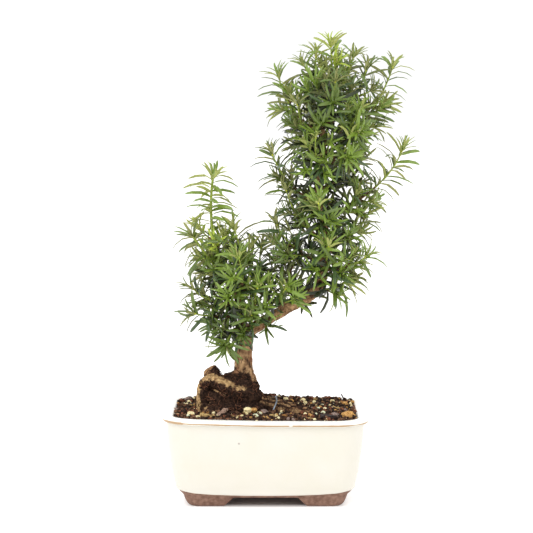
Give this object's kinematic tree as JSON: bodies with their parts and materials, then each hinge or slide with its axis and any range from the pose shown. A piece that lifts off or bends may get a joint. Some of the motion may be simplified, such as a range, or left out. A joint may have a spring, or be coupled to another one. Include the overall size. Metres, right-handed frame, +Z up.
{
  "type": "potted anglo-japanese yew bonsai",
  "caption": "Bonsai yew with a raised surface root, a low left bough and an arching right bough clad in sprays of needles, in a glazed rectangular pot on bracket feet.",
  "frame": {"origin": "on the ground, under the middle of the whole plant's box", "axes": "+Z up; the front of the pot, the long side that the tree is seen from, faces -Y; the arching bough leans towards +X"},
  "size_m": [0.2122, 0.13, 0.3933],
  "materials": {
    "cream_glaze": "glossy cream-white stoneware glaze",
    "bare_clay": "unglazed fired brown clay",
    "potting_mix": "moist peat with bark chips and small stones",
    "bark": "thin flaking reddish-brown bark",
    "wire": "dull drawn wire",
    "old_needles": "dark green satin needles",
    "new_needles": "pale yellow-green satin needles"
  },
  "bodies": {
    "root": {"pot_body": "cream_glaze", "pot_base": "bare_clay", "foot_front_left": "bare_clay", "foot_front_right": "bare_clay", "foot_back_left": "bare_clay", "foot_back_right": "bare_clay", "soil": "potting_mix", "trunk": "bark", "bough_reach": "bark", "bough_rise": "bark", "bough_left": "bark", "tie_wire": "wire", "spray_top": "new_needles", "spray_top_left": "new_needles", "spray_top_right": "new_needles", "spray_top_back": "new_needles", "spray_high_left": "new_needles", "spray_high_right": "new_needles", "spray_high_front": "new_needles", "spray_far_right": "new_needles", "spray_shoulder_left": "new_needles", "spray_shoulder_right": "new_needles", "spray_shoulder_back": "new_needles", "spray_middle_front": "new_needles", "spray_middle_left_front": "new_needles", "spray_middle_left": "new_needles", "spray_middle_back": "new_needles", "spray_right_arm": "new_needles", "spray_inner_left": "new_needles", "spray_inner_front": "old_needles", "spray_inner_back": "old_needles", "spray_elbow_right": "old_needles", "spray_elbow_left": "old_needles", "spray_elbow_back": "old_needles", "spray_low_right": "old_needles", "spray_under_elbow": "old_needles", "spray_reach_back": "old_needles", "spray_reach_front": "old_needles", "spray_reach_up": "old_needles", "spray_reach_foot": "old_needles", "spray_under_reach": "old_needles", "spray_left_leader": "new_needles", "spray_left_inner": "old_needles", "spray_left_outer": "old_needles", "spray_left_back": "old_needles", "spray_left_front": "old_needles", "spray_left_low": "old_needles", "spray_left_foot": "old_needles", "spray_left_foot_back": "old_needles", "spray_left_foot_front": "old_needles", "spray_fork_front": "old_needles", "spray_elbow_front": "old_needles"}
  },
  "joints": []
}
